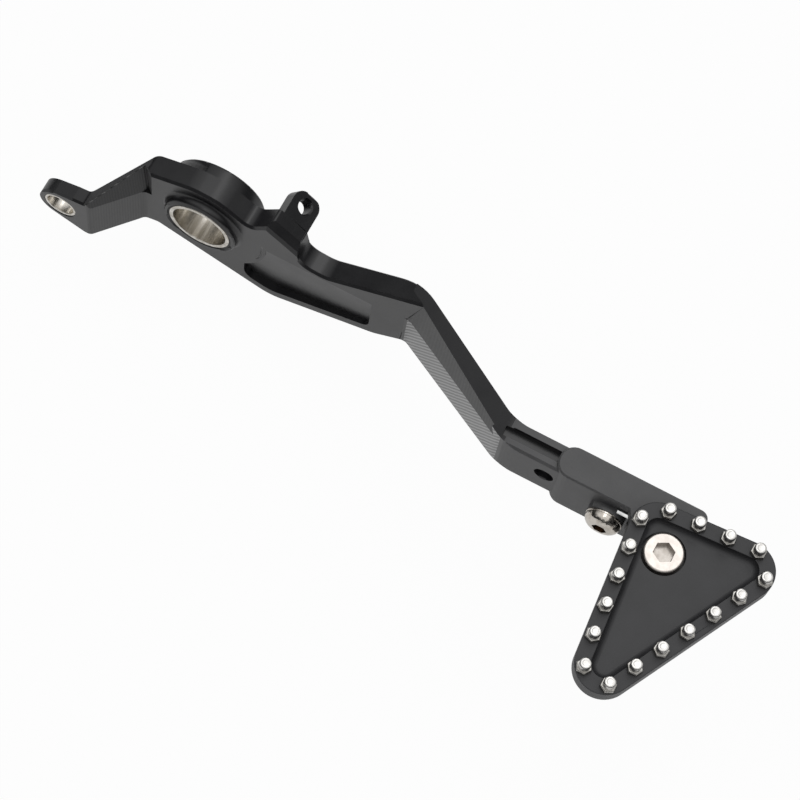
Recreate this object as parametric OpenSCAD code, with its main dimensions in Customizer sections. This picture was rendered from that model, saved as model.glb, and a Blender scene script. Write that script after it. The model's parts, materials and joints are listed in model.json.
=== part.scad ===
// Rear brake pedal with a spring-loaded folding toe tip on a length-adjustable carrier.
// X runs forward along the tongue, Y inboard along the pivot axis, Z up; the origin is the centre of the pivot bore.

/* [Pivot] */
// Bore of the pivot bush
pivot_bore_d = 20; // [16:0.5:22]
// Wall of the pivot bush
pivot_wall = 1.5; // [1:0.1:2.5]
// Length of the pivot hub and of its bush
hub_len = 16.5; // [14:0.5:24]
// Height of the outboard boss above the arm's face
boss_h = 3; // [1.5:0.1:5]
// Width of metal around the seal on the outboard boss
boss_ring = 1.5; // [1:0.1:3]
// Radial width of each dust seal
seal_w = 0.7; // [0.5:0.1:1.2]
// Depth of each dust seal in the hub
seal_h = 1.6; // [1:0.1:3]
// Radius of the inboard hub
hub_far_r = 16.8; // [15.5:0.1:20]

/* [Arm] */
// Thickness of the flat arm
arm_t = 8.1; // [6:0.1:11]
// Height of the arm over the pivot axis
arm_top = 19; // [17.5:0.5:24]
// Lowest point of the arm's belly under the pivot axis
belly_z = 33; // [28:0.5:40]
// Distance of the belly ahead of the pivot
belly_x = 26.5; // [20:0.5:34]
// Where the arm starts its outboard crank
crank_x0 = 78; // [70:1:86]
// Where the crank ends and the tongue starts
crank_x1 = 127.4; // [118:1:136]
// Height of the arm's top edge at the start of the crank
crank_top = 17.4; // [12:0.5:24]
// Depth of the near face's wedge pocket at its lower wall
pocket_d = 2.8; // [1:0.1:4]
// Width of the rib under the pocket
pocket_rib = 3.6; // [2:0.1:6]

/* [Tongue] */
// Height of the tongue's top above the pivot axis
tongue_z = 35; // [28:0.5:40]
// Centre plane of the tongue, outboard of the pivot centre
tongue_y = 36.55; // [30:0.5:44]
// Width of the tongue
tongue_w = 8.8; // [7.8:0.1:11]
// Height of the tongue
tongue_h = 19.5; // [16:0.5:24]
// Width of the groove in the tongue's top
groove_w = 3.5; // [2:0.1:5]
// Depth of the groove in the tongue's top
groove_d = 2.6; // [1:0.1:2.7]
// Spacing of the three length settings
hole_pitch = 11.7; // [11:0.05:12]
// Cross holes of the tongue
hole_d = 6.8; // [6.4:0.1:7.4]
// Distance of the cross holes below the tongue's top
hole_drop = 8.8; // [8.6:0.1:9.2]

/* [Rod lug] */
// Distance of the push rod's pivot behind the pedal's pivot
rod_x = 47.2; // [44:0.1:56]
// Distance of the push rod's pivot below the pedal's pivot
rod_z = 9.5; // [7:0.1:12]
// Outboard face of the lug, outboard of the arm's face
rod_step = 15; // [12:0.5:18]
// Thickness of the rod lug
rod_t = 5.5; // [4.5:0.1:8]
// Bore of the rod bush
rod_bore_d = 10; // [8:0.5:10]
// Wall of the rod bush
rod_wall = 1; // [0.8:0.1:1.5]
// Metal around the rod bush
rod_ring = 1.9; // [1.5:0.1:3]

/* [Stop tab] */
// Width of the stop-screw tab
tab_w = 11; // [9.5:0.1:13]
// Thickness of the tab
tab_t = 5; // [4:0.1:7]
// Distance of the threaded hole inboard of the pivot centre
tab_reach = 9.4; // [7:0.1:14]
// Metal between the threaded hole's centre and the tab's end
tab_end = 4.6; // [4.2:0.1:6]
// Slope of the tab's face below the X axis
tab_angle = 34.5; // [25:0.5:42]
// Core diameter of the tab's thread
tab_hole_d = 5; // [4:0.1:5.4]

/* [Carrier] */
// Wall at each side of the tongue
carrier_wall = 1; // [0.8:0.1:2]
// Roof over the tongue
carrier_roof = 1.7; // [1.2:0.1:3]
// Floor under the tongue
carrier_floor = 3.2; // [2:0.1:4]
// Sliding clearance around the tongue
slide_gap = 0.1; // [0.05:0.05:0.3]
// Rear end of the carrier
carrier_x0 = 145; // [144.5:0.1:146.5]
// Height of the round boss under the clamp screw's washer
clamp_boss_h = 2.4; // [1:0.1:2.8]
// Front end of the carrier ahead of the toe pivot
carrier_front = 7.8; // [6.4:0.1:10.4]
// Radius of the carrier's rear corners seen from above
carrier_r = 5.2; // [2:0.1:5.3]
// Thickness of the upper ear
ear_top_t = 3; // [2.5:0.1:4]
// Thickness of the lower ear
ear_low_t = 5.4; // [4:0.1:7]
// Radius of the ears around the toe pivot
ear_r = 9.5; // [9:0.1:11]

/* [Toe pivot] */
// Distance of the toe pivot ahead of the clamp screw
toe_ahead = 21.4; // [20.4:0.1:22.4]
// Distance of the toe pivot outboard of the tongue's centre plane
toe_out = 14.8; // [14:0.1:16]
// Outside diameter of the toe plate's barrel
barrel_d = 12; // [11.5:0.1:12.4]
// Running clearance of the barrel, all round
run_gap = 0.15; // [0.1:0.05:0.3]
// Gap between the toe plate and the carrier's top
plate_gap = 0.2; // [0.1:0.05:0.5]
// Nominal size of the toe pivot screw
toe_screw_d = 8; // [6:1:8]
// Head diameter of the toe pivot screw
toe_head_d = 13; // [12:0.1:14]
// Head height of the toe pivot screw
toe_head_h = 4; // [3:0.1:4.4]
// Largest fold of the toe tip, degrees
fold_angle = 60; // [30:5:60]

/* [Toe plate] */
// Thickness of the toe plate
plate_t = 5.8; // [5.4:0.1:8]
// Depth of the recess inside the rim
recess_d = 2.6; // [1:0.1:2.8]
// Width of the rim
rim_w = 5.3; // [5.2:0.1:6]
// Radius of the rear inboard corner
corner_a_r = 9.4; // [8.8:0.1:10.4]
// Radius of the front and outboard corners
corner_b_r = 9.6; // [8.8:0.1:10.4]
// Distance of the front corner's centre ahead of the toe pivot
plate_front = 24.6; // [24:0.2:40]
// Distance of the outboard corner's centre outboard of the toe pivot
plate_out = 41.3; // [38:0.1:60]

/* [Studs] */
// Studs along the rear side
studs_rear = 6; // [4:1:6]
// Studs along the outboard side
studs_out = 7; // [4:1:7]
// Studs along the inboard side
studs_in = 4; // [2:1:4]
// Distance of the studs from the plate's edge
stud_inset = 2.8; // [2.7:0.05:2.9]
// Height of a stud above the rim
stud_h = 5; // [3:0.1:7]
// Width across flats of a stud's hexagon
stud_af = 4.9; // [4.5:0.1:5]
// Height of a stud's hexagon
stud_hex_h = 2; // [1:0.1:2.5]
// Diameter of a stud's pin
stud_pin_d = 3.9; // [2.5:0.1:4]
// Depth of a stud's shank in the plate
stud_depth = 3.2; // [2:0.1:3.3]
// Diameter of a stud's shank
stud_shank_d = 3.6; // [3:0.1:4]

/* [Clamp screw] */
// Nominal size of the carrier's clamp screw
clamp_d = 6; // [5:0.5:6]
// Diameter of the clamp screw's button head
clamp_head_d = 12; // [11:0.1:12.2]
// Height of the button head
clamp_head_h = 3.4; // [3.2:0.1:4.4]
// Diameter of the washer
washer_d = 12.4; // [12.2:0.1:12.8]
// Thickness of the washer
washer_t = 0.8; // [0.5:0.1:1.6]
// Width across flats of the clamp nut
nut_af = 10; // [9:0.1:10.4]
// Thickness of the clamp nut
nut_t = 5; // [3:0.1:5.2]

/* [Spring] */
// Wire of the torsion spring
wire_d = 1.5; // [1.2:0.1:1.8]
// Turns of the torsion spring
spring_turns = 3; // [2:1:3]

/* [Hidden] */
$fn = 96;
eps = 0.01;

// The hub is centred on the origin; outboard is -Y.
hub_y0 = -hub_len/2;
arm_y0 = hub_y0 + boss_h;
arm_y1 = arm_y0 + arm_t;
bush_r = pivot_bore_d/2 + pivot_wall;
seal_r = bush_r + seal_w;
boss_r = seal_r + boss_ring;

// The rod lug.
rod_y0 = arm_y0 - rod_step;
rod_y1 = rod_y0 + rod_t;
rod_bush_r = rod_bore_d/2 + rod_wall;
rod_r = rod_bush_r + rod_ring;

// The tongue and the three cross holes, the foremost under the clamp screw.
ty0 = -tongue_y - tongue_w/2;
ty1 = -tongue_y + tongue_w/2;
tz0 = tongue_z - tongue_h;
clamp_x = carrier_x0 + 21.2;
clamp_z = tongue_z - hole_drop;
tongue_end = clamp_x + nut_af/2 + 2.4;

// The carrier around the tongue.
cy0 = ty0 - slide_gap - carrier_wall;
cy1 = ty1 + slide_gap + carrier_wall;
cz0 = tz0 - slide_gap - carrier_floor;
cz1 = tongue_z + slide_gap + carrier_roof;
toe_x = clamp_x + toe_ahead;
carrier_x1 = toe_x + carrier_front;
cavity_x1 = tongue_end + 8;

// The toe pivot, and the levels of its ears, barrel and screw.
toe_y = -tongue_y - toe_out;
coil_pitch = wire_d + 0.12;
coil_drop = (spring_turns + 10/24)*coil_pitch;
ear_gap = coil_drop + wire_d + 0.6;
ear_z1 = cz1 - ear_top_t;
ear_z0 = ear_z1 - ear_gap;
ear_zb = ear_z0 - ear_low_t;
barrel_r = barrel_d/2;
plate_z0 = cz1 + plate_gap;
plate_z1 = plate_z0 + plate_t;
floor_z = plate_z1 - recess_d;
head_z1 = plate_z1 - 1.2;
head_z0 = head_z1 - toe_head_h;
head_room = 0.7;

// The three corners of the toe plate: [x, y, radius].
corner_a = [toe_x - 4.5, toe_y + 5.15, corner_a_r];
corner_b = [toe_x + plate_front, toe_y + 6.85, corner_b_r];
corner_c = [toe_x - 0.6, toe_y - plate_out, corner_b_r];

// The stop pin and its arc groove under the plate.
pin_d = 3;
pin_r = barrel_r + 4.5;
pin_angle = 100;
pin_gap = 0.15;
groove_h = 2;
pin_arc = asin((pin_d/2 + pin_gap)/pin_r);

// The clamp screw's domed head.
dome = 3.2;
head_edge = 0.6;

// The spring's coil, between the ears and around the barrel.
coil_r = barrel_r + wire_d/2 + 0.35;
coil_z1 = ear_z1 - 0.3 - wire_d/2;
ear_top_x = clamp_x + washer_d/2 - 0.5;
ear_low_x = clamp_x + washer_d/2 + 0.6;
clamp_y = cy0 - clamp_boss_h;
leg_y = cy0 - wire_d/2 - 0.05;
leg_x = clamp_x + sqrt(max(0, pow(washer_d/2, 2) - pow(coil_z1 - wire_d/2 - clamp_z, 2))) + 0.5;

// Outline with rounded corners: each point is [x, y, radius].
function unit(v) = v / norm(v);
function corner_arc(a, p, b, r, n = 7) =
    let (u = unit([a[0] - p[0], a[1] - p[1]]), v = unit([b[0] - p[0], b[1] - p[1]]),
        half = acos(max(-1, min(1, u*v)))/2)
    r <= 0 || half > 89.5 ? [[p[0], p[1]]] :
    let (t = r/tan(half), m = unit(u + v), c = [p[0], p[1]] + m*r/sin(half),
        s = [p[0], p[1]] + u*t - c, e = [p[0], p[1]] + v*t - c,
        a0 = atan2(s[1], s[0]), a1 = atan2(e[1], e[0]),
        d = a1 - a0 > 180 ? a1 - a0 - 360 : a1 - a0 < -180 ? a1 - a0 + 360 : a1 - a0)
    [for (i = [0:n]) c + r*[cos(a0 + d*i/n), sin(a0 + d*i/n)]];
function rounded(pts) = [for (i = [0:len(pts) - 1])
    each corner_arc(pts[(i + len(pts) - 1) % len(pts)], pts[i], pts[(i + 1) % len(pts)], pts[i][2])];

// Tangent from circle a to circle b, both on the right of the way from a to b: two points.
function tangent(a, b) =
    let (d = [b[0] - a[0], b[1] - a[1]], k = asin((a[2] - b[2])/norm(d)),
        t = atan2(d[1], d[0]) - 90 + k, n = [cos(t), sin(t)])
    [[a[0], a[1]] + (a[2] - eps)*n, [b[0], b[1]] + (b[2] - eps)*n];

// Side view of the arm, x forward and y up.
top_slope = (tongue_z - crank_top)/(crank_x1 - crank_x0);
low_x = crank_x0 - 11.5;
low_z = -belly_z + 12;
side_pts = [
    [-rod_x - 2, -rod_z + rod_r*0.97, 0],
    [-rod_x + 5, -rod_z + rod_r + 1.5, 3],
    [-rod_x + 9.2, -rod_z + rod_r + 2.1, 2],
    [-22, arm_top - 5.4, 4],
    [-4.5, arm_top + 0.4, 14],
    [5.5, arm_top, 14],
    [17.4, arm_top - 7.2, 4],
    [24.6, arm_top + 0.6, 1],
    [34.8, arm_top - 6.2, 1],
    [36.6, arm_top - 15.4, 6],
    [46, arm_top - 16.4, 9],
    [crank_x0 - 1.6, crank_top, 8],
    [crank_x1, tongue_z, 12],
    [tongue_end, tongue_z, 0.6],
    [tongue_end, tz0, 0.6],
    [crank_x1, tz0, 12],
    [low_x, low_z, 12],
    [belly_x, -belly_z, 14],
    [-17.5, -19.4, 3],
    [-24, -21.2, 3],
    [-rod_x + 9, -rod_z - rod_r - 4, 4],
    [-rod_x - 2, -rod_z - rod_r*0.97, 0]];

// Plan of the arm, x forward and y inboard.
plan_pts = [
    [-rod_x - rod_r - 2, rod_y0, 0],
    [-rod_x + 11.4, rod_y0, 2.5],
    [-22.8, arm_y0, 3],
    [crank_x0, arm_y0, 6],
    [crank_x1, ty0, 16],
    [tongue_end + 1, ty0, 0],
    [tongue_end + 1, ty1, 0],
    [crank_x1, ty1, 16],
    [crank_x0, arm_y1, 24],
    [-21.5, arm_y1, 4],
    [-rod_x + 9.8, rod_y1, 3],
    [-rod_x - rod_r - 2, rod_y1, 0]];

// A solid from a side view, running from y0 to y1.
module along_y(y0, y1) translate([0, y1, 0]) rotate([90, 0, 0]) linear_extrude(y1 - y0) children();
module pin_y(d, x, z, y0, y1) translate([x, y1, z]) rotate([90, 0, 0]) cylinder(d = d, h = y1 - y0);

module arm_body() {
    intersection() {
        along_y(ty0 - 2, arm_y1 + 2) union() {
            polygon(rounded(side_pts));
            translate([-rod_x, -rod_z]) circle(r = rod_r);
        }
        translate([0, 0, -belly_z - 5]) linear_extrude(belly_z + tongue_z + 10) polygon(rounded(plan_pts));
    }
}

// Outboard boss with a coved foot, and the inboard hub with its edge chamfer.
module hub() {
    rotate([90, 0, 0]) rotate_extrude() polygon(concat(
        [[0, -hub_y0], [boss_r - 0.4, -hub_y0], [boss_r, -hub_y0 - 0.4]],
        [for (a = [180:-15:90]) [boss_r + 1.8 + 1.8*cos(a), -arm_y0 + 1.8 - 1.8*sin(a)]],
        [[boss_r + 1.8, -arm_y0 - 1], [0, -arm_y0 - 1]]));
    rotate([-90, 0, 0]) rotate_extrude() polygon([[0, arm_y1 - 1], [hub_far_r, arm_y1 - 1],
        [hub_far_r, -hub_y0 - 0.8], [hub_far_r - 0.8, -hub_y0], [0, -hub_y0]]);
}

// Tab for the stop screw: it leaves the top of the arm and runs inboard.
tab_x = 30.6;
tab_z = arm_top - 3.5;
module tab_frame() translate([tab_x, tab_reach, tab_z]) rotate([0, tab_angle, 0]) children();
module tab() tab_frame() translate([0, 0, -tab_t]) linear_extrude(tab_t) polygon(rounded([
    [-tab_w/2, arm_y1 - 4 - tab_reach, 0], [-tab_w/2, tab_end, 4],
    [tab_w/2, tab_end, 4], [tab_w/2, arm_y1 - 4 - tab_reach, 0]]));

// Wedge pocket in the outboard face, deepest along its lower wall.
module pocket() {
    tilt = atan(pocket_d/(belly_z - pocket_rib + 1));
    intersection() {
        along_y(arm_y0 - 1, arm_y0 + pocket_d + 1) difference() {
            polygon(rounded([[16.2, 6, 0], [16.2, -belly_z + pocket_rib + 3, 5],
                [belly_x, -belly_z + pocket_rib + 0.1, 10], [low_x - 2.2, low_z + pocket_rib - 0.4, 4],
                [low_x - 2.2, 6, 0]]));
            circle(r = boss_r + 10.3);
        }
        translate([-50, arm_y0, 1]) rotate([tilt, 0, 0]) translate([0, -20, -60]) cube([200, 20, 60]);
    }
}

// Bevels over the rod lever and over the crank: planes leaning inboard from the wall's upper line.
module bevel(p, q, lean) {
    d = q - p;
    translate(p) rotate([0, 0, atan2(d[1], d[0])]) rotate([0, -atan2(d[2], norm([d[0], d[1]])), 0])
        rotate([90 - lean, 0, 0]) translate([-4, 0, 0]) cube([norm(d) + 6, 30, 20]);
}

module pedal_arm() color("#4b4b4d") difference() {
    union() {
        difference() {
            arm_body();
            pocket();
            bevel([-rod_x + 11.4, rod_y0, -1], [-22.8, arm_y0, -1], 15);
            bevel([crank_x0 + 2, arm_y0 - 1.5, 5], [crank_x1 - 6, ty0 + 4.3, tongue_z - 7], 11);
            tab_frame() translate([-9, arm_y0 + 3.7 - tab_reach, 0]) rotate([28.4, 0, 0])
                translate([0, -20, 0]) cube([18, 20, 10]);
        }
        hub();
        tab();
    }
    pin_y(2*bush_r, 0, 0, hub_y0 - 1, -hub_y0 + 1);
    pin_y(2*seal_r, 0, 0, hub_y0 - 1, hub_y0 + seal_h);
    pin_y(2*seal_r, 0, 0, -hub_y0 - seal_h, -hub_y0 + 1);
    pin_y(2*rod_bush_r, -rod_x, -rod_z, rod_y0 - 1, rod_y1 + 1);
    tab_frame() translate([0, 0, -tab_t - 1]) cylinder(d = tab_hole_d, h = tab_t + 2);
    tab_frame() translate([0, 0, -0.6]) cylinder(d1 = tab_hole_d, d2 = tab_hole_d + 1.4, h = 0.7);
    // Groove, cross holes and the nuts' pockets in the tongue.
    translate([crank_x1 - 1.8, -tongue_y - groove_w/2, tongue_z - groove_d])
        cube([tongue_end - crank_x1 + 4, groove_w, groove_d + 1]);
    for (i = [0:2]) {
        pin_y(hole_d, clamp_x - i*hole_pitch, clamp_z, ty0 - 1, ty1 + 1);
        translate([clamp_x - i*hole_pitch, ty1 + 1, clamp_z]) rotate([90, 0, 0])
            rotate([0, 0, 30]) cylinder(d = (nut_af + 0.1)/cos(30), h = nut_t + 1.1, $fn = 6);
    }
    translate([crank_x1 + 1, ty0, tongue_z]) rotate([45, 0, 0]) translate([0, -0.6, -0.6]) cube([60, 1.2, 1.2]);
}

module tube_y(od, id, y0, y1) difference() {
    pin_y(od, 0, 0, y0, y1);
    pin_y(id, 0, 0, y0 - 1, y1 + 1);
}

module pivot_bush() color("#d8d6cf") tube_y(2*bush_r, pivot_bore_d, hub_y0, -hub_y0);

module pivot_seal(y) translate([0, y, 0]) color("#141414") tube_y(2*seal_r, 2*bush_r, 0, seal_h - 0.3);
module pivot_seal_outboard() pivot_seal(hub_y0 + 0.3);
module pivot_seal_inboard() pivot_seal(-hub_y0 - seal_h);

module rod_bush() color("#d8d6cf") translate([-rod_x, 0, -rod_z]) tube_y(2*rod_bush_r, rod_bore_d, rod_y0, rod_y1);

// Ears of the carrier around the toe pivot, seen from above.
module ear_plan(x0) {
    e = [toe_x + ear_r*cos(208), toe_y + ear_r*sin(208)];
    translate([toe_x, toe_y]) circle(r = ear_r);
    polygon([[x0, cy0], e, [toe_x, toe_y], [toe_x + ear_r, toe_y], [carrier_x1, cy0],
        [carrier_x1 - 2, cy0 + 0.8], [x0, cy0 + 0.8]]);
}

module tip_carrier() color("#5c5c5e") difference() {
    union() {
        intersection() {
            translate([0, 0, cz0]) linear_extrude(cz1 - cz0) polygon(rounded([
                [carrier_x0, cy0, carrier_r], [carrier_x1, cy0, 0.5], [carrier_x1, cy1, 3],
                [carrier_x0, cy1, carrier_r]]));
            along_y(cy0 - 1, cy1 + 1) polygon(rounded([[carrier_x0, cz0, 4.5], [carrier_x1, cz0, 6],
                [carrier_x1, cz1, 0], [carrier_x0, cz1, 0]]));
        }
        translate([0, 0, ear_z1]) linear_extrude(ear_top_t) ear_plan(ear_top_x);
        translate([0, 0, ear_zb]) linear_extrude(ear_low_t) ear_plan(ear_low_x);
        pin_y(washer_d, clamp_x, clamp_z, clamp_y, cy0 + 0.5);
    }
    translate([carrier_x0 - 1, ty0 - slide_gap, tz0 - slide_gap])
        cube([cavity_x1 - carrier_x0 + 1, tongue_w + 2*slide_gap, tongue_h + 2*slide_gap]);
    pin_y(clamp_d + 0.6, clamp_x, clamp_z, clamp_y - 1, ty0 + 1);
    translate([toe_x, toe_y, ear_z1 - 1]) cylinder(d = barrel_d + 2*run_gap, h = ear_top_t + 2);
    translate([toe_x, toe_y, ear_zb - 1]) cylinder(d = toe_screw_d, h = ear_low_t + 2);
    // Room for the coil beside the block.
    translate([toe_x, toe_y, ear_z0]) cylinder(r = coil_r + wire_d/2 + 0.6, h = ear_gap);
    translate([toe_x, toe_y, 0] + pin_r*[cos(pin_angle), sin(pin_angle), 0]) translate([0, 0, cz1 - 4])
        cylinder(d = pin_d, h = 5);
}

module clamp_screw() color("#cfcfcf") difference() {
    union() {
        pin_y(clamp_d, clamp_x, clamp_z, clamp_y - washer_t - 0.5, ty1 - 0.4);
        translate([clamp_x, clamp_y - washer_t, clamp_z]) rotate([90, 0, 0]) rotate_extrude() polygon([[0, 0],
            [clamp_head_d/2, 0], each [for (a = [0:15:90]) [clamp_head_d/2 - dome*(1 - cos(a)),
                head_edge + (clamp_head_h - head_edge)*sin(a)]], [0, clamp_head_h]]);
    }
    translate([clamp_x, clamp_y - washer_t - clamp_head_h + 2.2, clamp_z]) rotate([90, 0, 0])
        cylinder(d = clamp_d*0.75/cos(30), h = 4, $fn = 6);
}

module clamp_washer() color("#bfbfbf") translate([clamp_x, 0, clamp_z])
    tube_y(washer_d, clamp_d + 0.4, clamp_y - washer_t, clamp_y);

module clamp_nut() color("#bfbfbf") translate([clamp_x, ty1, clamp_z]) rotate([90, 0, 0]) difference() {
    rotate([0, 0, 30]) cylinder(d = nut_af/cos(30), h = nut_t, $fn = 6);
    translate([0, 0, -1]) cylinder(d = clamp_d, h = nut_t + 2);
}

// Rounded triangle of the toe plate, moved inwards by a distance.
function inset(c, d) = [c[0], c[1], max(0.3, c[2] - d)];
module triangle(d = 0) {
    a = inset(corner_a, d); b = inset(corner_b, d); c = inset(corner_c, d);
    for (k = [a, b, c]) translate([k[0], k[1]]) circle(r = k[2]);
    polygon(concat(tangent(a, c), tangent(c, b), tangent(b, a)));
}

module at_toe(z) translate([toe_x, toe_y, z]) children();

module toe_plate() color("#3a3a3d") difference() {
    union() {
        translate([0, 0, plate_z0]) linear_extrude(plate_t) triangle();
        at_toe(ear_z0 + 0.3) cylinder(d = barrel_d, h = plate_z0 - ear_z0 + 0.2);
    }
    translate([0, 0, floor_z]) linear_extrude(recess_d + 1) triangle(rim_w);
    at_toe(head_z0) cylinder(d = toe_head_d + 2*head_room, h = 10);
    at_toe(ear_z0 - 1) cylinder(d = toe_screw_d + 2*run_gap, h = 30);
    for (p = stud_pts) translate([p[0], p[1], plate_z1 - stud_depth]) cylinder(d = stud_shank_d, h = 5);
    // Arc groove that the stop pin runs in.
    at_toe(plate_z0 - 1) rotate([0, 0, pin_angle - pin_arc]) rotate_extrude(angle = fold_angle + 2*pin_arc)
        translate([pin_r - pin_d/2 - pin_gap, 0]) square([pin_d + 2*pin_gap, groove_h + 1]);
}

// Places of the studs: three rows that follow the plate's edge.
function on_corner(c, a) = [c[0], c[1]] + (c[2] - stud_inset)*[cos(a), sin(a)];
function row(p, q, n, steps) = [for (i = [0:n - 1]) p + (q - p)*i/steps];
stud_pts = concat(row(on_corner(corner_a, 178), on_corner(corner_c, 176), studs_rear - 1, studs_rear - 1.42),
    [on_corner(corner_c, 217)],
    row(on_corner(corner_c, -58), on_corner(corner_b, -7), studs_out, studs_out - 1),
    row(on_corner(corner_b, 80), on_corner(corner_a, 89), studs_in, studs_in - 1));

module stud() {
    translate([0, 0, -stud_depth]) cylinder(d = stud_shank_d, h = stud_depth);
    intersection() {
        cylinder(d = stud_af/cos(30), h = stud_hex_h, $fn = 6);
        cylinder(r1 = stud_af/cos(30)/2 + stud_hex_h, r2 = stud_af/2 + 0.1, h = stud_hex_h);
    }
    cylinder(d = stud_pin_d, h = stud_h - 0.4);
    translate([0, 0, stud_h - 0.4]) cylinder(d1 = stud_pin_d, d2 = stud_pin_d - 0.8, h = 0.4);
}

module toe_studs() color("#d9d9d9") for (p = stud_pts) translate([p[0], p[1], plate_z1]) stud();

module toe_pivot_screw() color("#d9d9d9") at_toe(0) difference() {
    union() {
        translate([0, 0, ear_zb + 0.4]) cylinder(d = toe_screw_d, h = head_z0 - ear_zb);
        translate([0, 0, head_z0]) cylinder(d = toe_head_d, h = toe_head_h - 0.4);
        translate([0, 0, head_z1 - 0.4]) cylinder(d1 = toe_head_d, d2 = toe_head_d - 0.8, h = 0.4);
    }
    translate([0, 0, head_z1 - 2.6]) cylinder(d = toe_screw_d*0.75/cos(30), h = 4, $fn = 6);
}

// Torsion spring: a leg along the carrier, the coil, and a tail against the barrel.
function leg_angle() = let (v = [leg_x - toe_x, leg_y - toe_y]) atan2(v[1], v[0]) - acos(coil_r/norm(v));
function spring_path() = let (a0 = leg_angle(), n = 24, total = spring_turns*n + 10)
    concat([[leg_x, leg_y, coil_z1], [(leg_x + toe_x)/2 - 3, leg_y + 0.02, coil_z1]],
        [for (i = [0:total]) let (a = a0 - i*360/n)
            [toe_x + coil_r*cos(a), toe_y + coil_r*sin(a), coil_z1 - coil_pitch*i/n]]);
function cross3(a, b) = [a[1]*b[2] - a[2]*b[1], a[2]*b[0] - a[0]*b[2], a[0]*b[1] - a[1]*b[0]];
module sweep(path, d, sides = 8) {
    n = len(path);
    rings = [for (i = [0:n - 1]) let (t = unit(path[min(i + 1, n - 1)] - path[max(i - 1, 0)]),
        s = unit(cross3(t, [0, 0, 1])), u = cross3(s, t))
        for (k = [0:sides - 1]) path[i] + d/2*(cos(k*360/sides)*s + sin(k*360/sides)*u)];
    polyhedron(rings, concat([[for (k = [sides - 1:-1:0]) k]],
        [for (i = [0:n - 2]) for (k = [0:sides - 1])
            [i*sides + k, i*sides + (k + 1) % sides, (i + 1)*sides + (k + 1) % sides, (i + 1)*sides + k]],
        [[for (k = [0:sides - 1]) (n - 1)*sides + k]]));
}
module toe_spring() color("#c8c8c8") sweep(spring_path(), wire_d);

module stop_pin() color("#c8c8c8") at_toe(0) rotate([0, 0, pin_angle]) translate([pin_r, 0, cz1 - 4])
    cylinder(d = pin_d, h = 4 + plate_gap + groove_h - 0.3);

pedal_arm();
pivot_bush();
pivot_seal_outboard();
pivot_seal_inboard();
rod_bush();
tip_carrier();
clamp_screw();
clamp_washer();
clamp_nut();
toe_plate();
toe_studs();
toe_pivot_screw();
toe_spring();
stop_pin();
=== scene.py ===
import json
import math
import bmesh
import bpy
from mathutils import Matrix, Vector


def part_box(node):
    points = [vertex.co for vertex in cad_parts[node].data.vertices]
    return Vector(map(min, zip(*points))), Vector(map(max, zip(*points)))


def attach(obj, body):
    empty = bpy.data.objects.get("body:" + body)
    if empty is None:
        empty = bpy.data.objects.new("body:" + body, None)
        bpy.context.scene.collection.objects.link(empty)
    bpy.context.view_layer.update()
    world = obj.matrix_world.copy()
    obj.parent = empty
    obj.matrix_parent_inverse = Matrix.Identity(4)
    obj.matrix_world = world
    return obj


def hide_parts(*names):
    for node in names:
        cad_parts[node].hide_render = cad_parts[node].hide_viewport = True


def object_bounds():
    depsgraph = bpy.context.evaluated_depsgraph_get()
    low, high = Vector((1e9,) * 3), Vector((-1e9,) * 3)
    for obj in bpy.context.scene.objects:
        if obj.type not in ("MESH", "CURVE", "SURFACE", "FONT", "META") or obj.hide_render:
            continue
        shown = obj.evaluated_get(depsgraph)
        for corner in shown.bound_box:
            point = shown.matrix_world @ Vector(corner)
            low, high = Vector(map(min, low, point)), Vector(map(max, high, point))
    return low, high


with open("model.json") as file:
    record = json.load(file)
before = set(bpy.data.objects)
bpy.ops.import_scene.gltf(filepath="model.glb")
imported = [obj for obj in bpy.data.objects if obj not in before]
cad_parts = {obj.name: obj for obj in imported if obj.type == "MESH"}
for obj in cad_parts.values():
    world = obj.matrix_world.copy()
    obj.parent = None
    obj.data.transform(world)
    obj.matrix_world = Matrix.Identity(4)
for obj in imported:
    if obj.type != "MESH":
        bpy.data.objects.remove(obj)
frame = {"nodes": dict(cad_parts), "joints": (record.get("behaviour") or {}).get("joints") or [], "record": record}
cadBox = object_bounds()
mm = 0.001
mounts = {mount["name"]: mount for mount in frame["record"]["mounts"]}
toeAxis = Vector(frame["joints"][0]["pos_m"])
lowest, highest = Vector(cadBox[0]), Vector(cadBox[1])
middle = (lowest + highest) / 2
print("frame loaded with", len(frame["nodes"]), "nodes")


# Shader maths: a Value is one number on a wire, and sums of Values add Math nodes.
class Value:
    def __init__(self, wiring, socket):
        self.wiring = wiring
        self.socket = socket

    def math(self, operation, *terms):
        node = self.wiring.add("ShaderNodeMath", {"operation": operation}, dict(enumerate(terms)))
        return Value(self.wiring, node.outputs[0])

    def __add__(self, other):
        return self.math("ADD", self, other)

    def __radd__(self, other):
        return self.math("ADD", other, self)

    def __sub__(self, other):
        return self.math("SUBTRACT", self, other)

    def __rsub__(self, other):
        return self.math("SUBTRACT", other, self)

    def __mul__(self, other):
        return self.math("MULTIPLY", self, other)

    def __rmul__(self, other):
        return self.math("MULTIPLY", other, self)

    def __pow__(self, other):
        return self.math("POWER", self, other)

    def sine(self):
        return self.math("SINE", self)

    def size(self):
        return self.math("ABSOLUTE", self)

    def above(self, edge, soft):
        # 0 under the edge and 1 over it, with a soft change
        settings = {"interpolation_type": "SMOOTHSTEP"}
        sockets = {"Value": self, "From Min": edge - soft, "From Max": edge + soft}
        return Value(self.wiring, self.wiring.add("ShaderNodeMapRange", settings, sockets).outputs[0])


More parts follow.
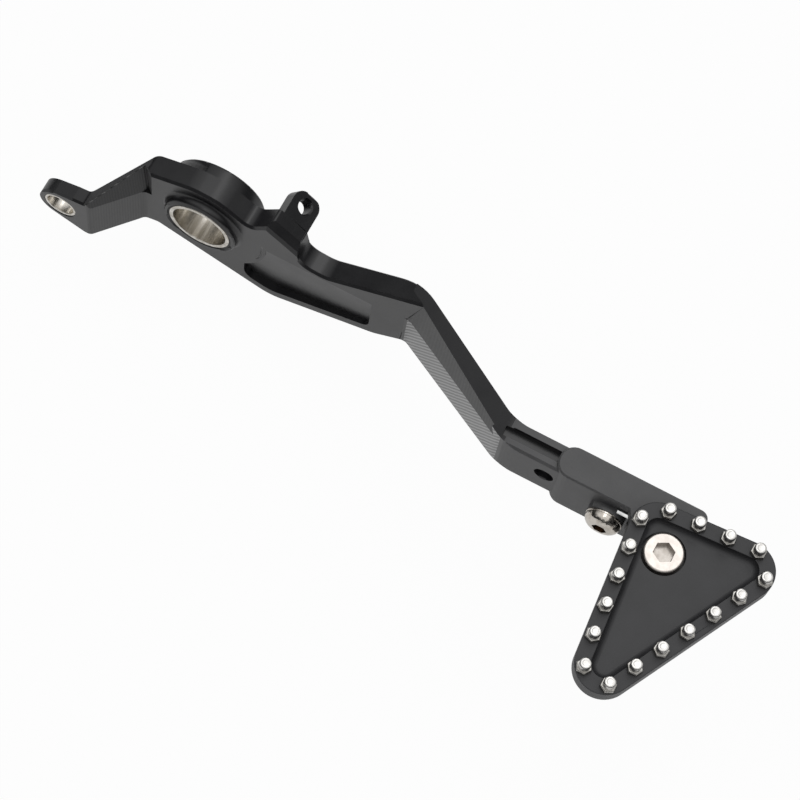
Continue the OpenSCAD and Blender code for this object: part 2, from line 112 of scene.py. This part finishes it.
# The nodes of one material or world: add() makes any node, sets it, then fills or links its sockets.
class Wiring:
    def __init__(self, owner):
        owner.use_nodes = True
        self.tree = owner.node_tree
        self.tree.nodes.clear()

    def add(self, kind, settings={}, sockets={}):
        node = self.tree.nodes.new(kind)
        for name, value in settings.items():
            if name == "stops":
                for stop, (position, level) in zip(node.color_ramp.elements, value):
                    stop.position = position
                    stop.color = (level, level, level, 1)
            else:
                setattr(node, name, value)
        for name, value in sockets.items():
            self.feed(node.inputs[name], value)
        return node

    def feed(self, socket, value):
        if isinstance(value, Value):
            self.tree.links.new(value.socket, socket)
        elif isinstance(value, bpy.types.NodeSocket):
            self.tree.links.new(value, socket)
        else:
            socket.default_value = value


# A finish is one material, with short ways to the nodes that all of them use.
class Finish(Wiring):
    def __init__(self, name, **sockets):
        self.material = bpy.data.materials.new(name)
        super().__init__(self.material)
        self.shader = self.add("ShaderNodeBsdfPrincipled")
        self.output = self.add("ShaderNodeOutputMaterial", {}, {0: self.shader.outputs[0]})
        self.place = self.add("ShaderNodeTexCoord").outputs["Object"]
        self.surface(**sockets)

    def surface(self, **sockets):
        for name, value in sockets.items():
            self.feed(self.shader.inputs[name.replace("_", " ")], value)

    def axes(self):
        parts = self.add("ShaderNodeSeparateXYZ", {}, {0: self.place})
        return [Value(self, socket) for socket in parts.outputs]

    def noise(self, scale, detail, roughness, stretch=(1, 1, 1)):
        mapped = self.add("ShaderNodeMapping", {}, {"Vector": self.place, "Scale": stretch})
        sockets = {"Vector": mapped.outputs[0], "Scale": scale, "Detail": detail, "Roughness": roughness}
        return Value(self, self.add("ShaderNodeTexNoise", {}, sockets).outputs[0])

    def blend(self, amount, first, second):
        # a Mix node's colours are its sockets 6 and 7, and the mixed one comes out of 2
        sockets = {0: amount, 6: (*first, 1), 7: (*second, 1)}
        return self.add("ShaderNodeMix", {"data_type": "RGBA"}, sockets).outputs[2]

    def relief(self, height, depth):
        bump = self.add("ShaderNodeBump", {}, {"Height": height, "Distance": depth * mm, "Strength": 1.0})
        self.surface(Normal=bump.outputs[0])


# Black anodising is a clear oxide skin over metal: near-black, not metallic, its gloss follows the machining.
# All lengths in this and the later dictionaries are in millimetres, and all angles in degrees.
anodising = {
    "arm": {"dark": (0.008, 0.008, 0.0095), "light": (0.018, 0.018, 0.0195), "gloss": 0.32, "spread": 0.16,
            "grain": 2600, "depth": 0.006,
            "scribe": {"radius": 22.6, "width": 0.3, "low": -8.0, "high": 1.0, "front": 10.0, "face": -3.2,
                       "depth": 75}},  # this depth is in grains
    "cut": {"dark": (0.090, 0.090, 0.091), "light": (0.300, 0.300, 0.302), "gloss": 0.30, "spread": 0.06,
            "grain": 2600},
    "carrier": {"dark": (0.068, 0.068, 0.070), "light": (0.094, 0.094, 0.096), "gloss": 0.48, "spread": 0.08,
                "grain": 3600, "depth": 0.014},
    "plate": {"dark": (0.024, 0.024, 0.026), "light": (0.038, 0.038, 0.041), "gloss": 0.46, "spread": 0.08,
              "grain": 3600, "depth": 0.014},
}


def anodised(name, look):
    finish = Finish(name, Metallic=0.0, IOR=1.5)
    cloud = finish.noise(90, 4.0, 0.6)
    speck = finish.noise(look["grain"], 2.0, 0.5)
    patch = (cloud * 0.75 + speck * 0.25).above(0.5, 0.22)
    finish.surface(Base_Color=finish.blend(patch, look["dark"], look["light"]))
    finish.surface(Roughness=look["gloss"] + look["spread"] * (cloud - 0.5))
    height = speck
    if "scribe" in look:
        height = speck - scribed(finish, look["scribe"]) * look["scribe"]["depth"]
    finish.relief(height, look["depth"])
    return finish


# The end of a round cut about the pivot, seen as a fine arc on the outboard face in front of the hub.
def scribed(finish, arc):
    x, y, z = finish.axes()
    away = ((x * x + z * z) ** 0.5 - arc["radius"] * mm).size()
    line = 1 - away.above(arc["width"] * mm, 0.2 * mm)
    span = z.above(arc["low"] * mm, 1.5 * mm) * (1 - z.above(arc["high"] * mm, 1.5 * mm))
    return line * span * x.above(arc["front"] * mm, 1.0 * mm) * (1 - y.above(arc["face"] * mm, 0.1 * mm))


# Cutter lines: even ridges square to a direction, with a little wander, over bare or anodised metal.
def milled(name, look, lines, bare=0.0):
    finish = Finish(name, Metallic=bare, IOR=1.5)
    x, y, z = finish.axes()
    cloud = finish.noise(120, 3.0, 0.6)
    speck = finish.noise(look["grain"], 2.0, 0.5)
    turn = Vector(lines["across"]).normalized() * (2 * math.pi / (lines["pitch"] * mm))
    ridge = (x * turn.x + y * turn.y + z * turn.z + cloud * (0.5 * math.pi)).sine()
    finish.surface(Base_Color=finish.blend(ridge * 0.5 + 0.5, look["dark"], look["light"]))
    finish.surface(Roughness=look["gloss"] + 0.5 * look["spread"] * (cloud - 0.5))
    finish.relief(ridge * 0.5 + speck * 0.15, lines["depth"])
    return finish


# Bare metals: each has its clean tint and a worn one, and smears along the way it was turned or drawn. The
# socket's two tints are painted shade: the screw's steel darkened for the inside of its hexagon socket.
metals = {
    "bush": {"tint": (0.74, 0.71, 0.66), "worn": (0.48, 0.45, 0.395), "gloss": 0.24, "stretch": (1, 0.06, 1)},
    "screw": {"tint": (0.67, 0.625, 0.585), "worn": (0.61, 0.565, 0.525), "gloss": 0.34},
    "socket": {"tint": (0.42, 0.39, 0.36), "worn": (0.34, 0.31, 0.28), "gloss": 0.30},
    "button": {"tint": (0.66, 0.62, 0.57), "worn": (0.50, 0.46, 0.41), "gloss": 0.18},
    "amber": {"tint": (0.30, 0.21, 0.14), "worn": (0.20, 0.14, 0.09), "gloss": 0.30},
    "stud": {"tint": (0.64, 0.63, 0.61), "worn": (0.54, 0.53, 0.51), "gloss": 0.26, "stretch": (1, 1, 0.2)},
    "foot": {"tint": (0.40, 0.39, 0.37), "worn": (0.30, 0.29, 0.27), "gloss": 0.26},
    "wire": {"tint": (0.84, 0.84, 0.83), "worn": (0.66, 0.66, 0.66), "gloss": 0.18},
}


def steel(name):
    look = metals[name]
    stretch = look.get("stretch", (1, 1, 1))
    finish = Finish(name + "Steel", Metallic=1.0)
    smear = finish.noise(420, 3.0, 0.6, stretch)
    speck = finish.noise(2400, 2.0, 0.5, stretch)
    finish.surface(Base_Color=finish.blend(smear.above(0.52, 0.16), look["tint"], look["worn"]))
    finish.surface(Roughness=look["gloss"] + 0.12 * (smear - 0.5))
    finish.relief(speck, 0.0015)
    return finish


def sealRubber():
    finish = Finish("sealRubber", IOR=1.5)
    speck = finish.noise(3000, 2.0, 0.5)
    finish.surface(Base_Color=finish.blend(speck, (0.006, 0.006, 0.006), (0.014, 0.014, 0.014)))
    finish.surface(Roughness=0.55 + 0.2 * (speck - 0.5))
    return finish


finishes = {
    "arm": anodised("armAnodised", anodising["arm"]),
    "carrier": anodised("carrierBlasted", anodising["carrier"]),
    "plate": anodised("plateBlasted", anodising["plate"]),
    "seal": sealRubber(),
}
for name in metals:
    finishes[name] = steel(name)
print("finishes made")


# Working on a piece by hand: open it, pick edges or faces by their place, then use the operators.
# Picks get places in millimetres, and the normals of the face or of the edge's two faces.
def selectOnly(*pieces):
    # the last piece becomes the active one
    bpy.ops.object.select_all(action="DESELECT")
    for piece in pieces:
        piece.select_set(True)
    bpy.context.view_layer.objects.active = pieces[-1]


def openForEdit(piece):
    selectOnly(piece)
    bpy.ops.object.mode_set(mode="EDIT")
    bpy.ops.mesh.select_mode(type="EDGE")


def closeEdit():
    bpy.ops.object.mode_set(mode="OBJECT")


def pickEdges(piece, wanted, steep=25):
    bpy.ops.mesh.select_mode(type="EDGE")
    bpy.ops.mesh.select_all(action="DESELECT")
    shape = bmesh.from_edit_mesh(piece.data)
    for edge in shape.edges:
        if len(edge.link_faces) != 2 or edge.calc_face_angle(0) < math.radians(steep):
            continue
        first, second = (face.normal for face in edge.link_faces)
        centre = (edge.verts[0].co + edge.verts[1].co) / 2
        if wanted(centre / mm, first, second, edge.is_convex):
            edge.select_set(True)
    bmesh.update_edit_mesh(piece.data)


def pickFaces(piece, wanted):
    bpy.ops.mesh.select_mode(type="FACE")
    bpy.ops.mesh.select_all(action="DESELECT")
    shape = bmesh.from_edit_mesh(piece.data)
    for face in shape.faces:
        face.select_set(wanted(face.calc_center_median() / mm, face.normal))
    bmesh.update_edit_mesh(piece.data)


def pickCorners(piece, places):
    bpy.ops.mesh.select_mode(type="VERT")
    bpy.ops.mesh.select_all(action="DESELECT")
    shape = bmesh.from_edit_mesh(piece.data)
    for place in places:
        nearest = min(shape.verts, key=lambda vert: (vert.co / mm - Vector(place)).length)
        nearest.select_set(True)
    bmesh.update_edit_mesh(piece.data)


def breakEdges(piece, wanted, width, segments=1, **settings):
    pickEdges(piece, wanted)
    bpy.ops.mesh.bevel(offset=width * mm, segments=segments, affect="EDGES", **settings)


def moveCorner(piece, place, shift):
    pickCorners(piece, [place])
    bpy.ops.transform.translate(value=Vector(shift) * mm)


def paintFaces(piece, slot, wanted):
    pickFaces(piece, wanted)
    piece.active_material_index = slot
    bpy.ops.object.material_slot_assign()


def addFinishes(piece, *names):
    for name in names:
        piece.data.materials.append(finishes[name].material)


def within(value, span):
    return span[0] < value < span[1]


def offAxis(point, centre, along):
    # how far a point is from an axis along x, y or z (0, 1 or 2)
    offset = point - Vector(centre)
    offset[along] = 0
    return offset.length


def inRing(point, normal, rings):
    return any(abs(normal[along]) > 0.9 and offAxis(point, centre, along) < radius
               for along, centre, radius in rings)


def copyOf(node, name, rings=()):
    # a copy of a CAD node's mesh, merged, with its flat faces joined again, but not the rings about an axis,
    # because a ring that is joined to one face shades badly
    piece = bpy.data.objects.new(name, frame["nodes"][node].data.copy())
    bpy.context.scene.collection.objects.link(piece)
    piece.data.materials.clear()
    openForEdit(piece)
    bpy.ops.mesh.select_all(action="SELECT")
    bpy.ops.mesh.remove_doubles(threshold=0.002 * mm)
    pickFaces(piece, lambda p, n: not inRing(p, n, rings))
    bpy.ops.mesh.dissolve_limited(angle_limit=math.radians(0.6), use_dissolve_boundaries=False)
    closeEdit()
    return piece


def markOutline(piece, wanted):
    # the outline of some faces becomes a sharp line, in an open piece
    pickFaces(piece, wanted)
    bpy.ops.mesh.region_to_loop()
    bpy.ops.mesh.mark_sharp()


def markFlats(piece, steep=4, area=25):
    # a line between two large flats stays sharp, however shallow
    openForEdit(piece)
    shape = bmesh.from_edit_mesh(piece.data)
    bpy.ops.mesh.select_all(action="DESELECT")
    for edge in shape.edges:
        large = len(edge.link_faces) == 2 and min(f.calc_area() for f in edge.link_faces) > area * mm * mm
        if large and edge.calc_face_angle(0) > math.radians(steep):
            edge.select_set(True)
    bmesh.update_edit_mesh(piece.data)
    bpy.ops.mesh.mark_sharp()
    closeEdit()


def useModifier(piece, kind, **settings):
    selectOnly(piece)
    bpy.ops.object.modifier_add(type=kind)
    modifier = piece.modifiers[-1]
    for name, value in settings.items():
        setattr(modifier, name, value)
    bpy.ops.object.modifier_apply(modifier=modifier.name)


def finishPiece(piece, body, node, smooth=28):
    markFlats(piece)
    selectOnly(piece)
    bpy.ops.object.shade_smooth_by_angle(angle=math.radians(smooth))
    useModifier(piece, "WEIGHTED_NORMAL", keep_sharp=True, weight=60)
    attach(piece, body)
    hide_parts(node)
    print("made", piece.name, len(piece.data.polygons), "faces")


def dressNode(node, finish):
    mesh = frame["nodes"][node].data
    mesh.materials.clear()
    mesh.materials.append(finishes[finish].material)


# The arm: sharp milled edges, the top one outboard broken widest, and faces with their own cutter lines.
# Spans are stretches along x. The solid has a small notch where the crank begins, which is closed by moving
# its near corner along the arm's top, merging the corners of its run-in and moving what is left into line.
armLook = {
    "hubRing": (1, (0, 0, 0), 12.6), "smooth": 17,
    "nearCorner": (70.4, -5.25, 14.5), "nearShift": (12.006, 0, 5.84),
    "runIn": ((76.06, -5.25, 4.3), (76.49, -5.27, 3.51), (77.04, -4.62, 3.36)),
    "lowCorner": (76.53, -5.05, 3.72), "lowShift": (0.72, -0.2, 0.1),
    "crank": {"span": (77, 126), "across": (-0.699, 0.506, 0.506), "pitch": 1.2, "depth": 0.07},
    "lever": {"span": (-37, -21), "across": (0.655, 0.756, 0.0), "pitch": 0.95, "depth": 0.03},
    "bevel": {"span": (76, 126), "across": (0.5, -0.3, 0.6), "pitch": 1.1, "depth": 0.025},
    "tongue": {"span": (127, 230), "top": 34, "side": -37},
    "leverEnd": {"span": (-26, -19)},
    "betweenBevels": (-20, 70),
    "topFrom": -8,  # the top's breaks stay above this height
    "leverBreak": {"span": (-40, -18), "width": 0.35},
    "lugBreak": {"span": (-60, -37), "width": 0.8},
    "tongueBreak": {"span": (128, 175), "width": 0.4},
    "topBreak": {"span": (-20, 76), "width": 0.9},
    "farBreak": {"span": (30, 76), "width": 0.4},
}


def addArmFinishes(arm):
    # slot 0 is the plain finish, 1 to 3 have cutter lines, and 4 is blasted
    addFinishes(arm, "arm")
    arm.data.materials.append(milled("crankCut", anodising["cut"], armLook["crank"], 1.0).material)
    arm.data.materials.append(milled("leverCut", anodising["arm"], armLook["lever"]).material)
    arm.data.materials.append(milled("bevelCut", anodising["arm"], armLook["bevel"]).material)
    addFinishes(arm, "carrier")


def paintArm(arm):
    def paint(slot, name, wanted):
        look = armLook[name]
        paintFaces(arm, slot, lambda p, n: within(p.x, look["span"]) and wanted(p, n, look))

    paint(1, "crank", lambda p, n, look: n.y < -0.6 and n.x < -0.3 and abs(n.z) < 0.05)
    paint(2, "lever", lambda p, n, look: n.y < -0.4 and n.x > 0.3 and -0.05 < n.z < 0.35)
    paint(3, "bevel", lambda p, n, look: n.y < -0.6 and 0.1 < n.z < 0.3)
    paint(4, "tongue", lambda p, n, look: n.z > 0.95 and p.z > look["top"]
          or n.y < -0.6 and p.y < look["side"])
    paint(4, "leverEnd", lambda p, n, look: n.x < -0.5 and n.y < -0.6 and abs(n.z) < 0.1)


def breakArm(arm):
    def breakAlong(name, wanted, **settings):
        look = armLook[name]
        breakEdges(arm, lambda p, a, b, out: out and within(p.x, look["span"]) and wanted(p, a, b),
                   look["width"], **settings)

    # the lever's own break takes its cutter lines
    breakAlong("leverBreak", lambda p, a, b: max(a.z, b.z) > 0.7 and min(a.z, b.z) < 0.35
               and min(a.y, b.y) < -0.5 and max(a.x, b.x) > 0.6, material=1)
    breakAlong("lugBreak", lambda p, a, b: max(a.z, b.z) > 0.6 and min(a.y, b.y) < -0.95)
    breakAlong("tongueBreak", lambda p, a, b: max(a.z, b.z) > 0.95 and min(a.y, b.y) < -0.95)
    breakAlong("topBreak", lambda p, a, b: min(a.y, b.y) < -0.95 and max(a.z, b.z) > 0.3
               and p.z > armLook["topFrom"], clamp_overlap=False)
    breakAlong("farBreak", lambda p, a, b: max(a.y, b.y) > 0.95 and max(a.z, b.z) > 0.3
               and p.z > armLook["topFrom"])


def makeArm():
    arm = copyOf("pedal_arm", "pedalArm", [armLook["hubRing"]])
    addArmFinishes(arm)
    openForEdit(arm)
    paintArm(arm)
    moveCorner(arm, armLook["nearCorner"], armLook["nearShift"])
    pickCorners(arm, armLook["runIn"])
    bpy.ops.mesh.merge(type="CENTER")
    moveCorner(arm, armLook["lowCorner"], armLook["lowShift"])
    breakArm(arm)
    # the bevels of the crank and lever keep a crisp outline
    markOutline(arm, lambda p, n: n.y < -0.5 and 0.1 < n.z < 0.34
                and not within(p.x, armLook["betweenBevels"]))
    closeEdit()
    finishPiece(arm, "pedal", "pedal_arm", armLook["smooth"])


makeArm()

# Turned rings: both bushes have small rounds at their rims.
bushLook = {"round": 0.3, "segments": 3, "ring": 12}


def makeBush(node, name, bore):
    centre = Vector(mounts[bore]["pos_m"]) / mm
    bush = copyOf(node, name, [(1, centre, bushLook["ring"])])
    addFinishes(bush, "bush")
    openForEdit(bush)
    breakEdges(bush, lambda p, a, b, out: out and max(abs(a.y), abs(b.y)) > 0.9,
               bushLook["round"], bushLook["segments"])
    closeEdit()
    finishPiece(bush, "pedal", node)


makeBush("pivot_bush", "pivotBush", "pivot_bore")
makeBush("rod_bush", "rodBush", "push_rod_bore")
dressNode("pivot_seal_outboard", "seal")
dressNode("pivot_seal_inboard", "seal")

# The carrier: a blasted block with a clear break along its top edge.
carrierLook = {"topBreak": 0.55, "screwRing": 8.6}


def makeCarrier():
    carrier = copyOf("tip_carrier", "tipCarrier", [(2, toeAxis / mm, carrierLook["screwRing"])])
    addFinishes(carrier, "carrier")
    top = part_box("tip_carrier")[1].z / mm
    openForEdit(carrier)
    breakEdges(carrier, lambda p, a, b, out: out and p.z > top - 0.05 and max(a.z, b.z) > 0.95,
               carrierLook["topBreak"], clamp_overlap=False)
    closeEdit()
    finishPiece(carrier, "pedal", "tip_carrier")


makeCarrier()

# The clamp screw with its washer and nut. Its hexagon socket has kept a brown film.
clampLook = {"break": 0.15, "socket": 3.1, "depth": 4}
clampLow, clampHigh = (Vector(corner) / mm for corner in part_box("clamp_screw"))


def inClampSocket(point, normal):
    depth = point.y - clampLow.y
    away = offAxis(point, (clampLow + clampHigh) / 2, 1)
    return away < clampLook["socket"] and 0.1 < depth < clampLook["depth"]


def makeClampPiece(node, name):
    piece = copyOf(node, name)
    addFinishes(piece, "button", "amber")
    openForEdit(piece)
    if node == "clamp_screw":
        paintFaces(piece, 1, inClampSocket)
    else:
        breakEdges(piece, lambda p, a, b, out: out and max(abs(a.y), abs(b.y)) > 0.95, clampLook["break"], 2)
    closeEdit()
    finishPiece(piece, "pedal", node)


makeClampPiece("clamp_screw", "clampScrew")
makeClampPiece("clamp_washer", "clampWasher")
makeClampPiece("clamp_nut", "clampNut")


# Where the studs stand, read from the CAD node's own solids.
def studPlaces():
    probe = copyOf("toe_studs", "probe")
    openForEdit(probe)
    bpy.ops.mesh.separate(type="LOOSE")
    closeEdit()
    places = []
    for part in list(bpy.context.selected_objects):
        points = [vert.co for vert in part.data.vertices]
        places.append([(min(p[k] for p in points) + max(p[k] for p in points)) / 2 for k in (0, 1)])
        bpy.data.objects.remove(part)
    return sorted(places)


studAt = studPlaces()
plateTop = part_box("toe_plate")[1].z

# The toe plate: thin breaks along its rim, and a wide cove where the recess meets its wall.
# The corners are the plate's three discs about the toe axis: x, y and radius.
plateLook = {"rimBreak": 0.3, "recess": 2.6, "rim": 5.3, "cove": 2.3, "coveSegments": 8, "headRoom": 7.2,
             "studRoom": 2.3, "corners": ((-4.5, 5.15, 9.4), (24.6, 6.85, 9.6), (-0.6, -41.3, 9.6))}


def atStud(point):
    return any(math.hypot(point.x - x / mm, point.y - y / mm) < plateLook["studRoom"] for x, y in studAt)


def roundedTriangle(name, shrink, low, high):
    # the hull of three discs about the plate's corners
    discs = []
    for x, y, radius in plateLook["corners"]:
        place = (toeAxis.x + x * mm, toeAxis.y + y * mm, (low + high) / 2)
        bpy.ops.mesh.primitive_cylinder_add(vertices=96, radius=(radius - shrink) * mm, depth=high - low,
                                            location=place)
        discs.append(bpy.context.object)
    selectOnly(*discs)
    bpy.ops.object.join()
    bpy.ops.object.transform_apply(location=True)
    block = bpy.context.object
    block.name = name
    openForEdit(block)
    bpy.ops.mesh.select_all(action="SELECT")
    bpy.ops.mesh.convex_hull()
    bpy.ops.mesh.select_all(action="SELECT")
    bpy.ops.mesh.dissolve_limited(angle_limit=math.radians(0.5))
    closeEdit()
    return block


def cutWith(piece, cutter):
    useModifier(piece, "BOOLEAN", object=cutter, operation="DIFFERENCE", solver="EXACT")
    bpy.data.objects.remove(cutter)


def makeCove():
    # the metal left in the recess's corner by a ball-nosed cutter, clear of the screw's head
    floor = plateTop - plateLook["recess"] * mm
    height = plateLook["cove"] * mm
    cove = roundedTriangle("cove", plateLook["rim"] - 0.02, floor + 0.01 * mm, floor + height)
    cutter = roundedTriangle("coveCutter", plateLook["rim"], floor - 0.01 * mm, plateTop + 5 * mm)
    openForEdit(cutter)
    breakEdges(cutter, lambda p, a, b, out: p.z * mm < floor + 0.1 * mm,
               plateLook["cove"], plateLook["coveSegments"])
    closeEdit()
    cutWith(cove, cutter)
    bpy.ops.object.select_all(action="DESELECT")
    bpy.ops.mesh.primitive_cylinder_add(vertices=128, radius=plateLook["headRoom"] * mm, depth=20 * mm,
                                        location=(toeAxis.x, toeAxis.y, plateTop))
    cutWith(cove, bpy.context.object)
    return cove


def makePlate():
    plate = copyOf("toe_plate", "toePlate")
    top = plateTop / mm
    openForEdit(plate)
    breakEdges(plate, lambda p, a, b, out: out and p.z > top - 0.05 and max(a.z, b.z) > 0.95
               and not atStud(p), plateLook["rimBreak"], 2, clamp_overlap=False)
    closeEdit()
    selectOnly(makeCove(), plate)
    bpy.ops.object.join()
    addFinishes(plate, "plate")
    finishPiece(plate, "toe_tip", "toe_plate")


makePlate()

# Studs: a hexagonal foot with its corners turned off, and a pin with a broken top edge and a shallow dish.
studLook = {"flats": 4.7, "foot": 1.8, "footBreak": 0.45, "pin": 3.8, "height": 5.0, "topBreak": 0.55,
            "segments": 3, "land": 0.35, "slope": 0.25, "dish": 0.12, "turnStep": 17}


def makeStudPart(vertices, radius, height, width, finish):
    bpy.ops.object.select_all(action="DESELECT")
    bpy.ops.mesh.primitive_cylinder_add(vertices=vertices, radius=radius * mm, depth=height * mm,
                                        location=(0, 0, plateTop + height * mm / 2))
    part = bpy.context.object
    bpy.ops.object.transform_apply(location=True)
    addFinishes(part, finish)
    openForEdit(part)
    breakEdges(part, lambda p, a, b, out: max(a.z, b.z) > 0.95, width, studLook["segments"])
    return part


def makeFirstStud():
    look = studLook
    foot = makeStudPart(6, look["flats"] / math.sqrt(3), look["foot"], look["footBreak"], "foot")
    closeEdit()
    pin = makeStudPart(40, look["pin"] / 2, look["height"], look["topBreak"], "stud")
    pickFaces(pin, lambda p, n: n.z > 0.98)
    bpy.ops.mesh.inset(thickness=look["land"] * mm, depth=0)
    bpy.ops.mesh.inset(thickness=look["slope"] * mm, depth=-look["dish"] * mm)
    closeEdit()
    selectOnly(pin, foot)
    bpy.ops.object.join()
    return foot


def copyStud(first, index, x, y):
    selectOnly(first)
    bpy.ops.object.duplicate()
    stud = bpy.context.object
    stud.name = "stud%02d" % (index + 1)
    stud.location = (x, y, 0)
    stud.rotation_euler.z = math.radians(studLook["turnStep"] * index)
    bpy.ops.object.transform_apply(location=True, rotation=True)
    finishPiece(stud, "toe_tip", "toe_studs")


firstStud = makeFirstStud()
for index, (x, y) in enumerate(studAt):
    copyStud(firstStud, index, x, y)
bpy.data.objects.remove(firstStud)

# The toe pivot screw: a low head with its rim and socket edge broken, and tightened until its hexagon stands
# as in the photo.
screwLook = {"break": 0.25, "socket": 3.8, "depth": 6, "turn": 30}


def makeToeScrew():
    screw = copyOf("toe_pivot_screw", "toePivotScrew")
    addFinishes(screw, "screw", "socket")
    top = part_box("toe_pivot_screw")[1].z / mm
    openForEdit(screw)
    bpy.ops.mesh.select_all(action="SELECT")
    bpy.ops.transform.rotate(value=math.radians(screwLook["turn"]), orient_axis="Z", center_override=toeAxis)
    breakEdges(screw, lambda p, a, b, out: out and p.z > top - 0.02 and max(a.z, b.z) > 0.95,
               screwLook["break"], 2, clamp_overlap=False)
    # the faces inside the hexagon socket take the darker socket steel, painted shade for the recess in the head
    paintFaces(screw, 1, lambda p, n: offAxis(p, toeAxis / mm, 2) < screwLook["socket"]
               and top - screwLook["depth"] < p.z < top - 0.2)
    closeEdit()
    finishPiece(screw, "pedal", "toe_pivot_screw")


makeToeScrew()
dressNode("toe_spring", "wire")
dressNode("stop_pin", "wire")
print("pieces made")

# Studio: a pale floor under the pedal, one soft lamp above and behind, a pale ceiling and a dark horizon.
# Glow is the floor's own light for the camera, and shine is what it adds to reflections.
studio = {
    "floorDrop": 2.0, "floorSize": 8000, "floorGrey": 0.8, "glow": 0.96, "shine": 0.5,
    "lamp": {"aim": (0.010, 0.352, 0.935), "distance": 1200, "size": (360, 900), "power": 1.5},
    "dusk": ((0.38, 0.03), (0.86, 1.0)),  # height of the sky and its level there
}


def makeFloor():
    bpy.ops.object.select_all(action="DESELECT")
    place = (middle.x, middle.y, lowest.z - studio["floorDrop"] * mm)
    bpy.ops.mesh.primitive_plane_add(size=studio["floorSize"] * mm, location=place)
    floor = bpy.context.object
    floor.name = "floor"
    bpy.ops.object.transform_apply(location=True)
    finish = Finish("paleFloor", Roughness=0.9, Base_Color=(*[studio["floorGrey"]] * 3, 1))
    rays = finish.add("ShaderNodeLightPath").outputs
    reflected = Value(finish, rays["Is Glossy Ray"]) + Value(finish, rays["Is Transmission Ray"])
    seen = Value(finish, rays["Is Camera Ray"]) * studio["glow"] + reflected * studio["shine"]
    glow = finish.add("ShaderNodeEmission", {}, {"Color": (1, 1, 1, 1), "Strength": 1.0})
    mixed = finish.add("ShaderNodeMixShader", {}, {0: seen, 1: finish.shader.outputs[0], 2: glow.outputs[0]})
    finish.feed(finish.output.inputs[0], mixed.outputs[0])
    floor.data.materials.append(finish.material)


def makeWorld():
    world = bpy.data.worlds.new("studioRoom")
    sky = Wiring(world)
    place = sky.add("ShaderNodeTexCoord")
    split = sky.add("ShaderNodeSeparateXYZ", {}, {0: place.outputs["Generated"]})
    ramp = sky.add("ShaderNodeValToRGB", {"stops": studio["dusk"]}, {0: split.outputs[2]})
    room = sky.add("ShaderNodeBackground", {}, {0: ramp.outputs[0]})
    pale = sky.add("ShaderNodeBackground", {}, {0: (1, 1, 1, 1)})
    rays = sky.add("ShaderNodeLightPath").outputs
    sockets = {0: rays["Is Camera Ray"], 1: room.outputs[0], 2: pale.outputs[0]}
    mixed = sky.add("ShaderNodeMixShader", {}, sockets)
    sky.add("ShaderNodeOutputWorld", {}, {0: mixed.outputs[0]})
    bpy.context.scene.world = world


def makeLamp():
    look = studio["lamp"]
    aim = Vector(look["aim"]).normalized()
    light = bpy.data.lights.new("topLamp", "AREA")
    light.shape = "RECTANGLE"
    light.size, light.size_y = (side * mm for side in look["size"])
    light.energy = look["power"]
    lamp = bpy.data.objects.new("topLamp", light)
    lamp.location = middle + aim * look["distance"] * mm
    lamp.rotation_euler = aim.to_track_quat("Z", "Y").to_euler()
    bpy.context.scene.collection.objects.link(lamp)


# The photograph's camera: where it stands, which way it looks and which way is right, in the pedal's frame.
view = {"lens": 117.0, "sensor": 36.0, "place": (175.9, -333.05, 800.4),
        "look": (-0.101953, 0.351645, -0.930565), "right": (0.885489, 0.458371, 0.076196)}


def makeCamera():
    data = bpy.data.cameras.new("camera")
    data.lens = view["lens"]
    data.sensor_width = view["sensor"]
    camera = bpy.data.objects.new("camera", data)
    back = -Vector(view["look"]).normalized()
    right = Vector(view["right"]).normalized()
    up = back.cross(right)
    turn = Matrix((right, up, back)).transposed().to_4x4()
    camera.matrix_world = Matrix.Translation(Vector(view["place"]) * mm) @ turn
    bpy.context.scene.collection.objects.link(camera)
    bpy.context.scene.camera = camera


makeFloor()
makeWorld()
makeLamp()
makeCamera()
bpy.context.scene.view_settings.view_transform = "Standard"
print("studio made")
